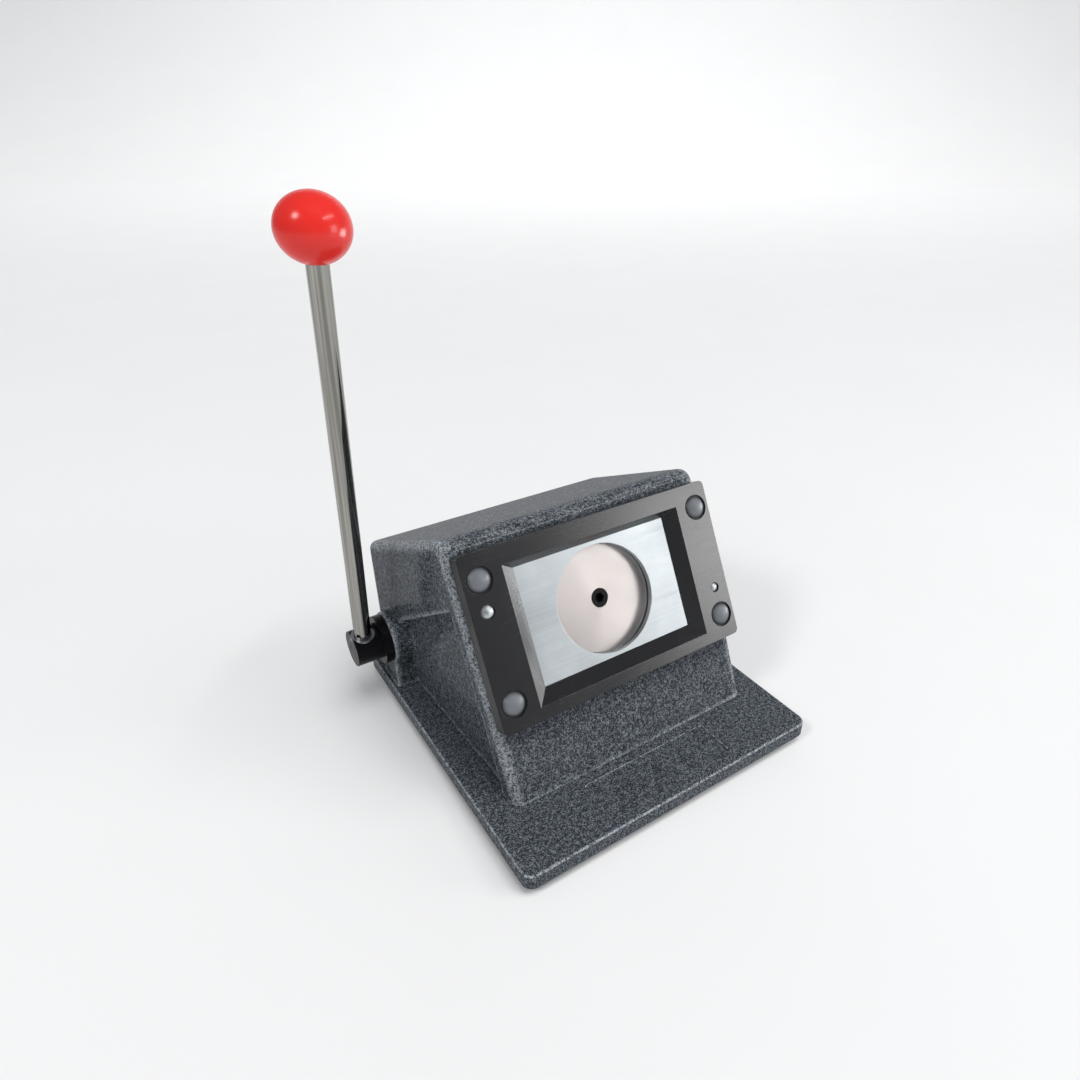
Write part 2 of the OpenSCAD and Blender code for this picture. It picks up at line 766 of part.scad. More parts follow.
module lever_rod() {
    color(ground_steel) on_lever() {
        z_cylinder(rod_d, -rod_sink, lever_len - knob_flat);
        z_cylinder(rod_thread_d, 0, lever_len + insert_up - cut);
    }
}

module ball_knob() {
    color(knob_red) on_lever() translate([0, 0, lever_len]) difference() {
        scale([1, 1, knob_tall / knob_d]) sphere(knob_d / 2);
        z_cylinder(knob_d, -knob_d, -knob_flat);
        z_cylinder(insert_d + 2 * fit_gap, -knob_d, insert_up);
    }
}

module knob_insert() {
    color(bronze) on_lever() translate([0, 0, lever_len]) difference() {
        z_cylinder(insert_d, -knob_flat, insert_up);
        z_cylinder(rod_thread_d + 2 * fit_gap, -knob_d, insert_up - cut);
    }
}

// Outline of the yoke and its cap, from the shaft side
module yoke_block(z0, z1) {
    translate([-yoke_w / 2, yoke_low - yoke_wall, z0])
        cube([yoke_w, yoke_high - yoke_low + 2 * yoke_wall, z1 - z0]);
}

module ram() {
    color(ground_steel) on_face() difference() {
        union() {
            z_cylinder(ram_d, -ram_flange_back - cut, -punch_back);
            z_cylinder(ram_flange_d, -ram_flange_back - ram_flange_t, -ram_flange_back);
            yoke_block(-yoke_rear, -ram_flange_back - ram_flange_t / 2);
        }
        translate([-yoke_w, yoke_low, -yoke_rear - cut])
            cube([2 * yoke_w, yoke_high - yoke_low, yoke_rear - yoke_front + cut]);
        z_cylinder(punch_screw_d + 2 * fit_gap, -punch_back - punch_screw_reach, cut);
        for (y = yoke_screw_y) translate([0, y])
            z_cylinder(yoke_screw_d + 2 * fit_gap, -far, -yoke_rear + yoke_screw_reach + cut);
    }
}

module yoke_cap() {
    color(dark_steel) on_face() difference() {
        yoke_block(-yoke_rear - yoke_cap_t, -yoke_rear);
        for (y = yoke_screw_y) translate([0, y]) {
            z_cylinder(yoke_screw_d + 2 * fit_gap, -far, 0);
            z_cylinder(yoke_screw_head_d + 2 * fit_gap, -far, -yoke_screw_seat);
        }
    }
}

module yoke_screws() {
    tip = yoke_rear - yoke_screw_seat - yoke_screw_reach;
    color(dark_steel) on_face() for (y = yoke_screw_y)
        translate([0, y, -yoke_screw_seat]) rotate([180, 0, 0])
            socket_screw(yoke_screw_d, yoke_screw_head_d, yoke_screw_d, 0, tip);
}

module punch() {
    color(ground_steel) on_face() difference() {
        z_cylinder(disc_d, -punch_back, -punch_rest);
        z_cylinder(punch_head_d + 2 * side_gap, -punch_rest - punch_bore_depth, cut);
        z_cylinder(punch_screw_d + 2 * fit_gap, -punch_back - cut, cut);
    }
}

module punch_screw() {
    color(dark_steel) on_face()
        socket_screw(punch_screw_d, punch_head_d, punch_screw_d, -punch_rest - punch_bore_depth,
            -punch_back - punch_screw_reach + cut);
}

// A ring of points round the spring's wire, at the turn a and the height z
function wire_ring(a, z, sides) = [for (k = [0 : sides - 1]) let (
    b = 360 * k / sides,
    r = spring_d / 2 + spring_wire_d / 2 * cos(b))
    [r * cos(a), r * sin(a), z + spring_wire_d / 2 * sin(b)]];

module return_spring() {
    sides = 8;
    steps = 20 * spring_turns;
    rise = spring_rear - spring_front - spring_wire_d;
    low = -spring_rear + spring_wire_d / 2;
    turn = 360 * spring_turns;
    pts = [for (i = [0 : steps]) each wire_ring(turn * i / steps, low + rise * i / steps, sides)];
    walls = [for (i = [0 : steps - 1], k = [0 : sides - 1]) let (n = (k + 1) % sides)
        [i * sides + k, (i + 1) * sides + k, (i + 1) * sides + n, i * sides + n]];
    ends = [[for (k = [0 : sides - 1]) k], [for (k = [0 : sides - 1]) steps * sides + sides - 1 - k]];
    color(dark_steel) on_face() polyhedron(pts, concat(walls, ends));
}

base_plate();
body_casting();
base_screws();
rubber_feet();
foot_screws();
guide_plate();
slot_spacer_left();
slot_spacer_right();
die_plate();
front_frame();
frame_screws();
screw_caps();
guide_pin_left();
guide_pin_right();
shaft_bush_left();
shaft_bush_right();
ram_bush();
eccentric_shaft();
thrust_collar();
collar_set_screw();
retaining_ring();
rod_washer();
lever_rod();
ball_knob();
knob_insert();
ram();
yoke_cap();
yoke_screws();
punch();
punch_screw();
return_spring();
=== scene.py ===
"""Looks of the circle paper cutter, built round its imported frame."""

import json
import math

import bmesh
import bpy
from mathutils import Matrix, Vector


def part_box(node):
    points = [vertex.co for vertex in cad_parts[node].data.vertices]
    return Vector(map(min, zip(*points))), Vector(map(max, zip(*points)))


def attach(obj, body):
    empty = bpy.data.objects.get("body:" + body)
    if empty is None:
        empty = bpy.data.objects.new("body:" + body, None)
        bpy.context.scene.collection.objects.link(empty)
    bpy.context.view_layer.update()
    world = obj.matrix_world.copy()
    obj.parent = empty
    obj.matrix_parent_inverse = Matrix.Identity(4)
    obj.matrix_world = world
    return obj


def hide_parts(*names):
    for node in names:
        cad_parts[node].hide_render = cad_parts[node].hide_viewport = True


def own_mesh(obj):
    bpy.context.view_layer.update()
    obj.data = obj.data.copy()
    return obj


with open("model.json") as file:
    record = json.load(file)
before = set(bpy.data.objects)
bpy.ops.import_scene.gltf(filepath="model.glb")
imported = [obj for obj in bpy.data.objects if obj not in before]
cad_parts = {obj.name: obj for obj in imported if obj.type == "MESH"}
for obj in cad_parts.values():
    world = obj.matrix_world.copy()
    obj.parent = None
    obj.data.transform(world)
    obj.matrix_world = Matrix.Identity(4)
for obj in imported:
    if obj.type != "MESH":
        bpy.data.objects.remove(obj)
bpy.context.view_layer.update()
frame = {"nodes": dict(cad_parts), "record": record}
nodes = frame["nodes"]

MM = 0.001
FACE_TILT = math.radians(26.6)
LEVER_LEAN = math.radians(9.5)
FACE_MIDDLE = Vector((0, -27 * MM, 95 * MM))
UP_SLOPE = Vector((0, math.sin(FACE_TILT), math.cos(FACE_TILT)))
OUT_OF_FACE = Vector((0, -math.cos(FACE_TILT), math.sin(FACE_TILT)))
JOINTS = {joint["name"]: joint for joint in frame["record"]["behaviour"]["joints"]}
LEVER_AXIS = Vector(JOINTS["lever_turn"]["pos_m"])

# Edges that bend more than this are broken by a small radius
SHARP_ANGLE = math.radians(32)
# Points closer than this are one, and faces that bend less than this are one flat
WELD_REACH, FLAT_ANGLE = 1e-6, math.radians(0.4)
# A point nearer to a turning axis than this lies on it
ON_AXIS = 1e-9


# Materials

# The sockets of a Mix node that carry colours
MIX_A, MIX_B, MIX_RESULT = 6, 7, 2


class Look:
    """One procedural material, with its coordinates in metres."""

    def __init__(self, name, color, metallic, roughness, **sockets):
        self.material = bpy.data.materials.new(name)
        self.material.use_nodes = True
        self.tree = self.material.node_tree
        self.bsdf = self.tree.nodes["Principled BSDF"]
        self.set("Base Color", (*color, 1))
        self.set("Metallic", metallic)
        self.set("Roughness", roughness)
        for key, value in sockets.items():
            self.set(key.replace("_", " "), value)
        self.where = self.add("ShaderNodeTexCoord").outputs["Object"]

    def add(self, kind):
        return self.tree.nodes.new(kind)

    def set(self, socket, value):
        self.bsdf.inputs[socket].default_value = value

    def link(self, source, target):
        self.tree.links.new(source, target)

    def to(self, source, socket):
        self.link(source, self.bsdf.inputs[socket])

    def stretched(self, scale, turn=(0, 0, 0)):
        """Coordinates in axes turned by this much, then scaled."""
        mapping = self.add("ShaderNodeMapping")
        mapping.vector_type = "TEXTURE"
        mapping.inputs["Rotation"].default_value = turn
        mapping.inputs["Scale"].default_value = [1 / c for c in scale]
        self.link(self.where, mapping.inputs["Vector"])
        return mapping.outputs["Vector"]

    def noise(self, scale, detail, rough=0.5, where=None):
        node = self.add("ShaderNodeTexNoise")
        node.inputs["Scale"].default_value = scale
        node.inputs["Detail"].default_value = detail
        node.inputs["Roughness"].default_value = rough
        self.link(where or self.where, node.inputs["Vector"])
        return node.outputs["Fac"]

    def cells(self, scale, feature):
        node = self.add("ShaderNodeTexVoronoi")
        node.feature = feature
        node.inputs["Scale"].default_value = scale
        self.link(self.where, node.inputs["Vector"])
        return node.outputs["Distance"]

    def along(self, direction, source=None):
        """How far a point of the surface lies along a direction of the object, in metres."""
        node = self.add("ShaderNodeVectorMath")
        node.operation = "DOT_PRODUCT"
        self.link(source or self.where, node.inputs[0])
        node.inputs[1].default_value = direction
        return node.outputs["Value"]

    def toward(self, direction):
        """Cosine between the surface's normal and a direction of the object."""
        return self.along(direction, self.where.node.outputs["Normal"])

    def stored(self, name):
        """A number that the mesh keeps at each of its points."""
        node = self.add("ShaderNodeAttribute")
        node.attribute_name = name
        return node.outputs["Fac"]

    def rings(self, scale):
        node = self.add("ShaderNodeTexWave")
        node.wave_type = "RINGS"
        node.rings_direction = "Z"
        node.inputs["Scale"].default_value = scale
        node.inputs["Distortion"].default_value = 0.0
        self.link(self.where, node.inputs["Vector"])
        return node.outputs["Fac"]

    def spread(self, source, low, high, out_low=0.0, out_high=1.0):
        node = self.add("ShaderNodeMapRange")
        sockets = ("From Min", "From Max", "To Min", "To Max")
        for socket, value in zip(sockets, (low, high, out_low, out_high)):
            node.inputs[socket].default_value = value
        self.link(source, node.inputs["Value"])
        return node.outputs["Result"]

    def maths(self, operation, a, b):
        node = self.add("ShaderNodeMath")
        node.operation = operation
        for i, value in enumerate((a, b)):
            if isinstance(value, (int, float)):
                node.inputs[i].default_value = value
            else:
                self.link(value, node.inputs[i])
        return node.outputs["Value"]

    def weighted(self, a, weight_a, b, weight_b):
        part_a = self.maths("MULTIPLY", a, weight_a)
        return self.maths("ADD", part_a, self.maths("MULTIPLY", b, weight_b))

    def mix(self, share, a, b):
        node = self.add("ShaderNodeMix")
        node.data_type = "RGBA"
        self.link(share, node.inputs["Factor"])
        for socket, value in ((node.inputs[MIX_A], a), (node.inputs[MIX_B], b)):
            if isinstance(value, tuple):
                socket.default_value = (*value, 1)
            else:
                self.link(value, socket)
        return node.outputs[MIX_RESULT]

    def bump(self, height, distance, strength, socket="Normal"):
        node = self.add("ShaderNodeBump")
        node.inputs["Distance"].default_value = distance
        node.inputs["Strength"].default_value = strength
        self.link(height, node.inputs["Height"])
        self.to(node.outputs["Normal"], socket)


def hammertone():
    """Dark enamel with silvery flecks and dimples under a clear coat, worn thin along the edges."""
    look = Look(
        "hammertone", (0.03, 0.034, 0.04), 0.0, 0.45,
        Specular_IOR_Level=0.0, Coat_Weight=0.24, Coat_Roughness=0.12)
    fine = look.noise(1250, 2.0, 0.6)
    blotch = look.noise(480, 3.0, 0.65)
    grains = look.weighted(fine, 0.62, blotch, 0.38)
    flecks = look.spread(grains, 0.46, 0.66)
    drift = look.noise(28, 2.0)
    dark = look.mix(drift, (0.02, 0.024, 0.03), (0.032, 0.037, 0.044))
    paint = look.mix(flecks, dark, (0.28, 0.312, 0.35))
    worn = look.maths("MULTIPLY", look.stored("wear"), look.spread(grains, 0.4, 0.6))
    look.to(look.mix(worn, paint, (0.46, 0.5, 0.54)), "Base Color")
    look.to(look.spread(flecks, 0, 1, 0.0, 0.2), "Metallic")
    look.to(look.spread(flecks, 0, 1, 0.4, 0.5), "Roughness")
    dimples = look.spread(look.cells(480, "SMOOTH_F1"), 0.0, 0.55)
    relief = look.weighted(dimples, 0.7, fine, 0.5)
    look.bump(look.maths("ADD", relief, flecks), 0.0004, 0.8)
    look.bump(relief, 0.00001, 0.8, "Coat Normal")
    return look.material


def satin_black():
    """Blackened frame steel with a faint ground grain."""
    look = Look("satin_black", (0.005, 0.005, 0.006), 0.0, 0.26, IOR=1.8)
    grain = look.noise(900, 3.0, 0.6, look.stretched((0.06, 1, 1)))
    cloud = look.noise(35, 3.0)
    look.to(look.mix(cloud, (0.003, 0.003, 0.004), (0.007, 0.007, 0.008)), "Base Color")
    look.to(look.spread(look.maths("ADD", grain, cloud), 0.6, 1.4, 0.24, 0.29), "Roughness")
    side = look.maths("ABSOLUTE", look.toward((1, 0, 0)), 0)
    look.to(look.spread(side, 0.85, 0.95, 0.5, 0.08), "Specular IOR Level")
    look.bump(look.noise(2400, 2.0), 0.000004, 0.4)
    return look.material


def steel(name, color, rough, scale, streak, depth, wear=0.9):
    """Ground steel: streaks run along the direction in which the noise is stretched."""
    look = Look(name, color, 1.0, rough)
    where = look.stretched(streak)
    lines = look.noise(scale, 4.0, 0.65, where)
    cloud = look.noise(45, 3.0)
    shade = tuple(wear * c for c in color)
    share = look.spread(look.maths("ADD", lines, cloud), 0.7, 1.3)
    look.to(look.mix(share, shade, color), "Base Color")
    look.to(look.spread(lines, 0.3, 0.7, rough - 0.06, rough + 0.08), "Roughness")
    look.bump(lines, depth, 0.5)
    return look.material


def turned_steel():
    """Face-turned steel: fine rings round the piece's own Z axis."""
    look = Look("turned_steel", (0.72, 0.66, 0.64), 1.0, 0.4, Anisotropic=0.45)
    tangent = look.add("ShaderNodeTangent")
    tangent.direction_type = "RADIAL"
    tangent.axis = "Z"
    look.to(tangent.outputs["Tangent"], "Tangent")
    rings = look.rings(700)
    wander = look.noise(60, 2.0)
    light, dark = (0.65, 0.598, 0.58), (0.565, 0.52, 0.503)
    look.to(look.mix(look.maths("MULTIPLY", rings, wander), light, dark), "Base Color")
    look.to(look.spread(wander, 0.3, 0.7, 0.37, 0.46), "Roughness")
    look.bump(rings, 0.000012, 0.5)
    return look.material


def chrome():
    """Polished bar with streaks along it in its base colour, partly fine lines of drawing and
    partly painted reflection streaks.
    """
    look = Look("rod_chrome", (0.42, 0.41, 0.38), 1.0, 0.12)
    lean = (LEVER_LEAN, 0, 0)
    drawn_lines_and_painted_reflections = look.noise(650, 2.0, 0.5, look.stretched((1, 1, 0.012), lean))
    wipe = look.noise(700, 3.0, 0.6, look.stretched((1, 1, 0.08), lean))
    dull, bright = (0.2, 0.196, 0.178), (0.41, 0.402, 0.373)
    # Painted reflection: the base colour runs in dark and light streaks along the bar, partly
    # drawing lines and partly standing in for reflections.
    look.to(look.mix(look.spread(drawn_lines_and_painted_reflections, 0.35, 0.65), dull, bright), "Base Color")
    look.to(look.spread(wipe, 0.35, 0.75, 0.07, 0.17), "Roughness")
    look.bump(wipe, 0.000004, 0.4)
    return look.material


def black_steel():
    """Blackened shaft steel, worn a little brighter in places."""
    look = Look("shaft_black", (0.006, 0.006, 0.007), 0.0, 0.4, Specular_IOR_Level=0.15)
    worn = look.spread(look.noise(170, 4.0, 0.7), 0.55, 0.75)
    look.to(look.mix(worn, (0.004, 0.004, 0.005), (0.014, 0.014, 0.016)), "Base Color")
    look.to(look.spread(look.noise(420, 3.0), 0.3, 0.7, 0.3, 0.44), "Roughness")
    look.bump(look.noise(1600, 2.0), 0.00003, 0.4)
    return look.material


def red_ball():
    """Glossy moulded plastic."""
    look = Look("knob_red", (0.8, 0.014, 0.01), 0.0, 0.16, Specular_IOR_Level=0.38)
    drift = look.noise(55, 2.0)
    look.to(look.mix(drift, (0.76, 0.022, 0.017), (0.84, 0.034, 0.026)), "Base Color")
    look.to(look.spread(look.noise(380, 3.0), 0.3, 0.7, 0.19, 0.26), "Roughness")
    look.bump(look.noise(160, 2.0), 0.00006, 0.3)
    return look.material


def cap_plastic():
    """Grey plastic domes, with painted shade darkening them round their rims where they sink into
    their counterbores.
    """
    look = Look("cap_plastic", (0.12, 0.128, 0.138), 0.0, 0.42, IOR=1.5)
    drift = look.noise(240, 3.0)
    peak = max(vertex.co.dot(OUT_OF_FACE) for vertex in nodes["screw_caps"].data.vertices)
    # Painted shade: the dome turns near-black over its lowest few millimetres, where it sits in its
    # counterbore.
    painted_rim_shade = look.spread(look.along(OUT_OF_FACE), peak - 3.0 * MM, peak - 1.3 * MM, 1, 0)
    plain = look.mix(drift, (0.13, 0.142, 0.155), (0.17, 0.183, 0.197))
    look.to(look.mix(painted_rim_shade, plain, (0.02, 0.022, 0.025)), "Base Color")
    look.to(look.spread(drift, 0.3, 0.7, 0.38, 0.48), "Roughness")
    look.bump(look.noise(2200, 2.0), 0.00004, 0.5)
    return look.material


def rubber():
    """Matt black rubber with a little dust."""
    look = Look("foot_rubber", (0.02, 0.02, 0.02), 0.0, 0.78)
    dust = look.noise(260, 4.0, 0.65)
    clean, dusty = (0.014, 0.014, 0.014), (0.05, 0.048, 0.045)
    look.to(look.mix(look.spread(dust, 0.45, 0.8), clean, dusty), "Base Color")
    look.bump(look.noise(1500, 3.0), 0.00012, 0.6)
    return look.material


LOOKS = {
    "hammertone": hammertone(),
    "satin_black": satin_black(),
    "cap_plastic": cap_plastic(),
    "ground_steel": steel(
        "ground_steel", (0.61, 0.65, 0.67), 0.44, 700, (0.03, 1, 1), 0.000006, wear=0.78),
    "dark_steel": steel("dark_steel", (0.3, 0.3, 0.31), 0.38, 320, (1, 0.2, 1), 0.00002),
    "zinc_screws": steel("zinc_screws", (0.62, 0.63, 0.65), 0.3, 500, (1, 1, 0.3), 0.00002),
    "bronze": steel("bronze", (0.06, 0.042, 0.024), 0.45, 420, (0.2, 1, 1), 0.00002),
    "shaft_black": black_steel(),
    "rod_chrome": chrome(),
    "knob_red": red_ball(),
    "foot_rubber": rubber(),
    "turned": turned_steel(),
}


# Pieces

slot_of = {s["node"]: s["material_slot"] for s in frame["record"]["subparts"]}
body_of = {n: b for b, members in frame["record"]["behaviour"]["bodies"].items() for n in members}


def put(mesh, node, material=None, place=None):
    """Shows a new mesh in place of a CAD node, on the same body."""
    piece = bpy.data.objects.new(node + "_look", mesh)
    bpy.context.scene.collection.objects.link(piece)
    if place:
        piece.matrix_world = place
    mesh.materials.clear()
    mesh.materials.append(LOOKS[material or slot_of[node]])
    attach(piece, body_of[node])
    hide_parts(node)
    return piece


def solid_copy(node):
    """A welded copy of a CAD node's mesh, without its flat faces' inner edges."""
    bm = bmesh.new()
    bm.from_mesh(nodes[node].data)
    bmesh.ops.remove_doubles(bm, verts=bm.verts, dist=WELD_REACH)
    bmesh.ops.dissolve_limit(bm, angle_limit=FLAT_ANGLE, verts=bm.verts, edges=bm.edges)
    mesh = bpy.data.meshes.new(node + "_look")
    bm.to_mesh(mesh)
    bm.free()
    for layer in ("custom_normal", "sharp_edge", "sharp_face"):
        if layer in mesh.attributes:
            mesh.attributes.remove(mesh.attributes[layer])
    return mesh


def baked(mesh, modifiers):
    """The mesh with a list of (type, settings) modifiers applied."""
    temp = bpy.data.objects.new("temp", mesh)
    bpy.context.scene.collection.objects.link(temp)
    for kind, settings in modifiers:
        modifier = temp.modifiers.new(kind.lower(), kind)
        for key, value in settings.items():
            setattr(modifier, key, value)
    depsgraph = bpy.context.evaluated_depsgraph_get()
    made = bpy.data.meshes.new_from_object(temp.evaluated_get(depsgraph))
    made.name = mesh.name
    bpy.data.objects.remove(temp)
    bpy.data.meshes.remove(mesh)
    return made


def smooth(mesh, angle=35):
    mesh.shade_smooth()
    mesh.set_sharp_from_angle(angle=math.radians(angle))
    return mesh


# Outward bend at which the paint starts to wear thin and is fully thin, per metre
CASTING_BEND, BASE_BEND = (70, 220), (300, 450)
# A face larger than this, in square metres, is a flat side and keeps its paint
FLAT_AREA = 4e-4


def wear_edges(mesh, limits, blurs=0, lowest=-1.0):
    """Stores how sharply the mesh bends outwards at each point, for the wear of its paint.

    Points whose normal points lower than the lowest height keep their paint."""
    soft, sharp = limits
    shortest = 1e-12
    normals = [vertex.normal.copy() for vertex in mesh.vertices]
    pairs = [tuple(edge.vertices) for edge in mesh.edges]
    bend = [0.0] * len(normals)
    for a, b in pairs:
        step = mesh.vertices[b].co - mesh.vertices[a].co
        share = (normals[b] - normals[a]).dot(step) / max(step.length_squared, shortest)
        bend[a], bend[b] = max(bend[a], share), max(bend[b], share)
    wear = [min(max((value - soft) / (sharp - soft), 0.0), 1.0) for value in bend]
    for _ in range(blurs):
        total, count = list(wear), [1] * len(wear)
        for a, b in pairs:
            total[a], total[b] = total[a] + wear[b], total[b] + wear[a]
            count[a], count[b] = count[a] + 1, count[b] + 1
        wear = [t / c for t, c in zip(total, count)]
    for i, normal in enumerate(normals):
        if normal.z < lowest:
            wear[i] = 0.0
    for face in mesh.polygons:
        if face.area > FLAT_AREA:
            for i in face.vertices:
                wear[i] = 0.0
    mesh.attributes.new("wear", "FLOAT", "POINT").data.foreach_set("value", wear)
    return mesh


def eased(node, width, segments=2, material=None):
    """A CAD node with its edges broken by a small radius."""
    settings = {
        "width": width,
        "segments": segments,
        "limit_method": "ANGLE",
        "angle_limit": SHARP_ANGLE,
        "use_clamp_overlap": True,
        "harden_normals": True,
    }
    mesh = solid_copy(node)
    mesh.shade_smooth()
    return put(baked(mesh, [("BEVEL", settings)]), node, material)


def base():
    """The base plate with thick paint: round outer edges, and a softer step at the recess."""
    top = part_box("base_plate")[1][2]
    half_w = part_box("base_plate")[1][0]
    half_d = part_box("base_plate")[1][1]
    rim, outer, inner = 8 * MM, 2.0 * MM, 0.7 * MM
    at_side, recess_zone = 0.97, 2 * MM
    lowest_wear = 0.3
    mesh = solid_copy("base_plate")
    bm = bmesh.new()
    bm.from_mesh(mesh)
    weight = bm.edges.layers.float.new("bevel_weight_edge")
    for edge in bm.edges:
        sharp = len(edge.link_faces) == 2 and edge.calc_face_angle(0) > SHARP_ANGLE
        middle = (edge.verts[0].co + edge.verts[1].co) / 2
        at_rim = all(abs(v.co.x) > half_w - rim or abs(v.co.y) > half_d - rim for v in edge.verts)
        if sharp and at_rim and max(abs(middle.x) / half_w, abs(middle.y) / half_d) > at_side:
            edge[weight] = 1.0
        elif sharp and middle.z > top - recess_zone:
            edge[weight] = inner / outer
    bm.to_mesh(mesh)
    bm.free()
    mesh.shade_smooth()
    settings = {
        "width": outer,
        "segments": 4,
        "limit_method": "WEIGHT",
        "use_clamp_overlap": True,
        "harden_normals": True,
    }
    mesh = baked(mesh, [("BEVEL", settings)])
    return put(wear_edges(mesh, BASE_BEND, lowest=lowest_wear), "base_plate")


def punch_disc():
    """The punch with its face-turned front, round its own axis."""
    back, front, edge = -13.6 * MM, -1.6 * MM, 0.15 * MM
    rim, head, seat, bore = 30 * MM, 5.3 * MM, -8.0 * MM, 3.05 * MM
    rings = 12
    profile = [(bore, back), (rim - edge, back), (rim, back + edge), (rim, front - edge)]
    profile += [
        (rim - edge - (rim - edge - head - edge) * k / rings, front) for k in range(rings + 1)]
    profile += [(head, front - edge), (head, seat), (bore, seat)]
    return put(smooth(lathe("punch_look", profile, steps=160)), "punch", "turned", face_frame())


def pin(node, dome):
    """A guide pin with a domed front, as long and as thick as the CAD's pin."""
    to_face = face_frame().inverted()
    points = [to_face @ vertex.co for vertex in nodes[node].data.vertices]
    low, high = ([pick(p[i] for p in points) for i in range(3)] for pick in (min, max))
    radius = (high[0] - low[0]) / 2
    curve = (radius ** 2 + dome ** 2) / (2 * dome)
    middle = high[2] - curve
    start = math.degrees(math.asin((curve - dome) / curve))
    profile = [(0, low[2]), (radius, low[2])]
    profile += arc((0, middle), curve, start, 90, steps=16)[:-1] + [(0, high[2])]
    mesh = lathe(node + "_look", profile, steps=64)
    place = face_frame((low[0] + high[0]) / 2, (low[1] + high[1]) / 2)
    return put(smooth(mesh), node, place=place)


def knob():
    """The ball knob, a little flatter than a sphere, with a small round at its flat."""
    radius, half_tall, flat = 16 * MM, 14.8 * MM, 7 * MM
    bore, roof, soft, soft_turn = 6.05 * MM, 5.33 * MM, 0.6 * MM, 3
    squash = half_tall / radius
    low = -math.sqrt(radius ** 2 - flat ** 2)
    start = math.degrees(math.asin(low / radius)) + soft_turn
    profile = [(0, roof), (bore, roof), (bore, low * squash), (flat - soft, low * squash)]
    profile += [(r, z * squash) for r, z in arc((0, 0), radius, start, 90, steps=60)[:-1]]
    profile.append((0, half_tall))
    low_box, high_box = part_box("ball_knob")
    rise = math.hypot(half_tall * math.cos(LEVER_LEAN), radius * math.sin(LEVER_LEAN))
    middle = Vector([(a + b) / 2 for a, b in zip(low_box, high_box)])
    middle.z = high_box[2] - rise
    middle.y = LEVER_AXIS.y - (middle.z - LEVER_AXIS.z) * math.tan(LEVER_LEAN)
    place = Matrix.Translation(middle) @ Matrix.Rotation(LEVER_LEAN, 4, "X")
    mesh = lathe("ball_knob_look", profile, steps=128)
    mesh.transform(place)
    return put(smooth(mesh), "ball_knob")


def lathe(name, profile, steps):
    """A turned mesh round Z from (radius, height) points.

    They run from axis to axis, or round the section of a closed ring."""
    bm = bmesh.new()
    rows = []
    for r, z in profile:
        if r < ON_AXIS:
            rows.append([bm.verts.new((0, 0, z))])
        else:
            turn = [2 * math.pi * k / steps for k in range(steps)]
            rows.append([bm.verts.new((r * math.cos(a), r * math.sin(a), z)) for a in turn])
    if profile[0][0] > ON_AXIS:
        rows.append(rows[0])
    for a, b in zip(rows, rows[1:]):
        for k in range(steps):
            n = (k + 1) % steps
            ring = [a[k % len(a)], a[n % len(a)], b[n % len(b)], b[k % len(b)]]
            bm.faces.new(list(dict.fromkeys(ring)))
    bmesh.ops.recalc_face_normals(bm, faces=bm.faces)
    mesh = bpy.data.meshes.new(name)
    bm.to_mesh(mesh)
    bm.free()
    return mesh


def arc(middle, radius, start, end, steps):
    """Points of an arc in (radius, height), angles in degrees from the +radius direction."""
    turn = [math.radians(start + (end - start) * k / steps) for k in range(steps + 1)]
    return [(middle[0] + radius * math.cos(a), middle[1] + radius * math.sin(a)) for a in turn]


def face_frame(x=0.0, y=0.0):
    """Matrix with local X across the die face, Y up the slope and Z out of it."""
    at = FACE_MIDDLE + Vector((x, 0, 0)) + y * UP_SLOPE
    return Matrix((
        (1, 0, 0, at.x),
        (0, UP_SLOPE.y, OUT_OF_FACE.y, at.y),
        (0, UP_SLOPE.z, OUT_OF_FACE.z, at.z),
        (0, 0, 0, 1)))


def casting():
    """The casting with the soft edges of thick paint, and the paint's fillet along its foot."""
    size = 0.9 * MM
    mesh = baked(solid_copy("body_casting"), [
        ("REMESH", {"mode": "VOXEL", "voxel_size": size}),
        ("SMOOTH", {"factor": 0.5, "iterations": 6}),
        ("DECIMATE", {"ratio": 0.3}),
    ])
    foot, fillet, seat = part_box("body_casting")[0][2], 2.4 * MM, 0.5 * MM
    sideways = 0.3
    normals = [vertex.normal.copy() for vertex in mesh.vertices]
    for vertex, normal in zip(mesh.vertices, normals):
        rise = max(vertex.co.z - foot, 0)
        out = Vector((normal.x, normal.y, 0))
        if rise < fillet and out.length > sideways:
            vertex.co += out.normalized() * (fillet - math.sqrt(fillet ** 2 - (fillet - rise) ** 2))
            if rise < seat:
                vertex.co.z = foot
    mesh.shade_smooth()
    return put(wear_edges(mesh, CASTING_BEND, blurs=2), "body_casting")


def spring():
    """The return spring, which shortens towards its front end as the ram goes forward."""
    mesh = smooth(solid_copy("return_spring"), 60)
    piece = put(mesh, "return_spring")
    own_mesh(piece)
    return piece


casting()
base()
punch_disc()
spring()
knob()
eased("front_frame", 0.6 * MM, 3)
eased("die_plate", 0.25 * MM)
pin("guide_pin_left", 1.3 * MM)
pin("guide_pin_right", 0.9 * MM)
eased("eccentric_shaft", 1.4 * MM, 4)
eased("thrust_collar", 0.6 * MM)
eased("rod_washer", 0.2 * MM)
eased("punch_screw", 0.3 * MM, material="shaft_black")
eased("rubber_feet", 0.8 * MM, 3)

for name, node in nodes.items():
    if not node.hide_render:
        node.data.materials.clear()
        node.data.materials.append(LOOKS[slot_of[name]])


# Stage, light and camera


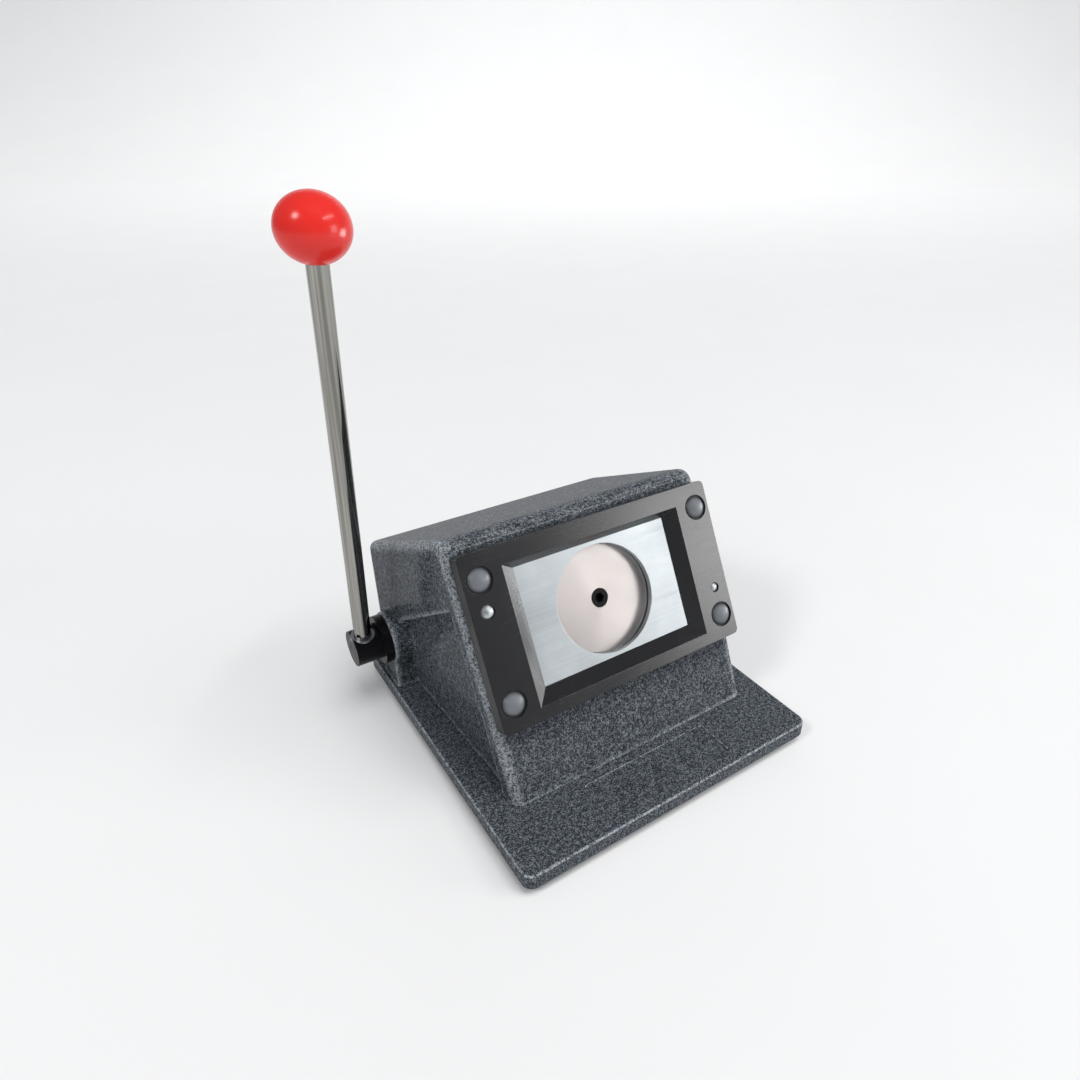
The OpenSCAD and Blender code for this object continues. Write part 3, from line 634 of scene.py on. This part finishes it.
def cove():
    """A pale floor that sweeps up behind the object, square to the camera."""
    back_at, radius, reach, height = 3.2, 1.6, 7.0, 4.0
    sweep = [math.radians(a) for a in range(5, 91, 5)]
    line = [(-reach, 0.0), (back_at, 0.0)]
    line += [(back_at + radius * math.sin(a), radius - radius * math.cos(a)) for a in sweep]
    line.append((back_at + radius, height))
    bm = bmesh.new()
    rows = [[bm.verts.new((x, y, z)) for y, z in line] for x in (-reach, reach)]
    for k in range(len(line) - 1):
        bm.faces.new((rows[0][k], rows[1][k], rows[1][k + 1], rows[0][k + 1]))
    mesh = bpy.data.meshes.new("cove")
    bm.to_mesh(mesh)
    bm.free()
    mesh.shade_smooth()
    floor = bpy.data.objects.new("cove", mesh)
    floor.rotation_euler.z = -math.atan2(VIEW.x, VIEW.y)
    bpy.context.scene.collection.objects.link(floor)
    look = Look("pale_floor", (0.86, 0.86, 0.86), 0.0, 0.7, Specular_IOR_Level=0.0)
    look.to(look.mix(look.noise(6, 3.0), (0.85, 0.85, 0.85), (0.88, 0.88, 0.88)), "Base Color")
    mesh.materials.append(look.material)


def soft_light(name, place, target, size, power, mirrored_only=False):
    """A softbox that the camera doesn't see. A mirrored one shows in gloss and lights nothing."""
    data = bpy.data.lights.new(name, "AREA")
    data.shape = "RECTANGLE"
    data.size, data.size_y = size
    data.energy = power
    lamp = bpy.data.objects.new(name, data)
    lamp.location = place
    lamp.rotation_euler = (Vector(target) - Vector(place)).to_track_quat("-Z", "Y").to_euler()
    lamp.visible_camera = False
    lamp.visible_diffuse = not mirrored_only
    bpy.context.scene.collection.objects.link(lamp)


def soft_sun(toward, strength, spread):
    """Wide even light from one direction, its spread in degrees, with no mirror image."""
    data = bpy.data.lights.new("sun", "SUN")
    data.energy = strength
    data.angle = math.radians(spread)
    lamp = bpy.data.objects.new("sun", data)
    lamp.rotation_euler = Vector(toward).to_track_quat("Z", "Y").to_euler()
    lamp.visible_glossy = False
    bpy.context.scene.collection.objects.link(lamp)


# The direction in which the camera looks, and the same along the floor
VIEW = Vector((0.495568, 0.716655, -0.490732))
AWAY = Vector((VIEW.x, VIEW.y, 0)).normalized()
cove()
soft_sun(toward=(0.1, -0.35, 0.93), strength=1.65, spread=35)
soft_light("lamp_left", (-1.64, -0.36, 1.82), (0, 0, 0.1), (0.5, 0.5), 15)
soft_light("lamp_right", (1.2, -1.33, 1.7), (0, 0, 0.1), (1.3, 0.12), 10)
soft_light("panel_right", (0.917, -0.983, 0.361), (0, 0, 0.1), (0.48, 0.48), 3.6)
soft_light(
    "panel_low", (0.73, -0.2, 0.12), (-0.05, -0.04, 0.1), (0.3, 0.24), 2.5, mirrored_only=True)
soft_light(
    "backdrop", AWAY * 2.4 + Vector((0, 0, 2.8)), AWAY * 4.6 + Vector((0, 0, 0.9)), (3.5, 0.8), 38)


def studio_room():
    """A dim room for the light, behind a pale backdrop for the eye."""
    world = bpy.data.worlds.new("studio")
    world.use_nodes = True
    tree = world.node_tree
    room = tree.nodes["Background"]
    pale = tree.nodes.new("ShaderNodeBackground")
    tones = ((room, (0.92, 0.95, 1.0, 1), 0.2), (pale, (0.98, 0.99, 1.0, 1), 0.6))
    for background, color, strength in tones:
        background.inputs["Color"].default_value = color
        background.inputs["Strength"].default_value = strength
    either = tree.nodes.new("ShaderNodeMixShader")
    path = tree.nodes.new("ShaderNodeLightPath")
    tree.links.new(path.outputs["Is Camera Ray"], either.inputs["Fac"])
    tree.links.new(room.outputs["Background"], either.inputs[1])
    tree.links.new(pale.outputs["Background"], either.inputs[2])
    tree.links.new(either.outputs["Shader"], tree.nodes["World Output"].inputs["Surface"])
    bpy.context.scene.world = world


studio_room()
bpy.context.scene.view_settings.view_transform = "Standard"

# The camera was fitted to the photograph's edges in a square frame of this many pixels
FRAME_PX = 1080
FOCAL_PX = 769.66
MIDDLE_PX = (598.68, 534.21)
camera_data = bpy.data.cameras.new("camera")
camera_data.sensor_width = 36
camera_data.lens = FOCAL_PX / FRAME_PX * camera_data.sensor_width
camera_data.shift_x = (FRAME_PX / 2 - MIDDLE_PX[0]) / FRAME_PX
camera_data.shift_y = (MIDDLE_PX[1] - FRAME_PX / 2) / FRAME_PX
camera_data.clip_start = 0.01
camera = bpy.data.objects.new("camera", camera_data)
right = Vector((0.823900, -0.566718, 0.004396))
up = Vector((0.274956, 0.406493, 0.871299))
eye = Vector((-0.200916, -0.314693, 0.332628))
camera.matrix_world = Matrix.Translation(eye) @ Matrix((right, up, -VIEW)).transposed().to_4x4()
bpy.context.scene.collection.objects.link(camera)
bpy.context.scene.camera = camera
